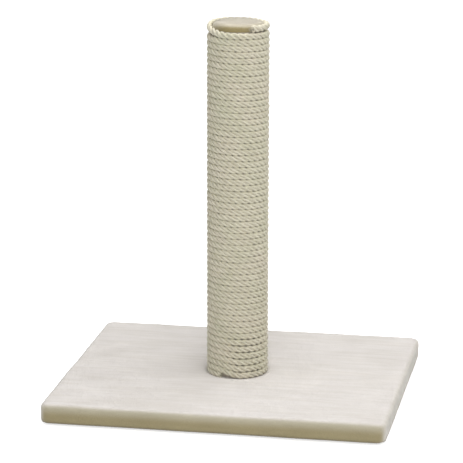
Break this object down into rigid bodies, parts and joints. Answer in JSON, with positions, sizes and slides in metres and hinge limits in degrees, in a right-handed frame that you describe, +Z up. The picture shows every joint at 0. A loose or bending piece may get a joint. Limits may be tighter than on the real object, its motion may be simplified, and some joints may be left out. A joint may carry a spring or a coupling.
{
  "type": "cat scratching post",
  "caption": "Cat scratching post: a plush-covered rectangular base with one upright round post, wound from foot to top with sisal rope and closed with a plush cap.",
  "frame": {"origin": "middle of the footprint, on the floor", "axes": "+Z up along the post, -Y the pictured front, +X to the right seen from the front"},
  "size_m": [0.4, 0.35, 0.4518],
  "materials": {
    "chipboard": "raw pressed board",
    "plush": "short pale grey-cream pile",
    "staple_wire": "flat galvanised wire",
    "lining_felt": "thin black non-woven",
    "pad_rubber": "matt foam rubber",
    "zinc_steel": "zinc plated",
    "tube_board": "spirally wound grey-brown board",
    "plug_wood": "turned pine",
    "sisal": "twisted natural sisal, pale straw",
    "foam": "thin soft foam"
  },
  "bodies": {
    "root": {"base_board": "chipboard", "plush_cover": "plush", "hem_staples": "staple_wire", "underside_lining": "lining_felt", "lining_staples": "staple_wire", "foot_pads": "pad_rubber", "clamp_bolt": "zinc_steel", "bolt_washer": "zinc_steel", "tee_nut": "zinc_steel", "post_tube": "tube_board", "bottom_plug": "plug_wood", "top_plug": "plug_wood", "bottom_plug_staples": "staple_wire", "top_plug_staples": "staple_wire", "sisal_rope": "sisal", "rope_staples": "staple_wire", "cap_disc": "chipboard", "cap_foam": "foam", "cap_cover": "plush", "cap_staples": "staple_wire"}
  },
  "joints": []
}
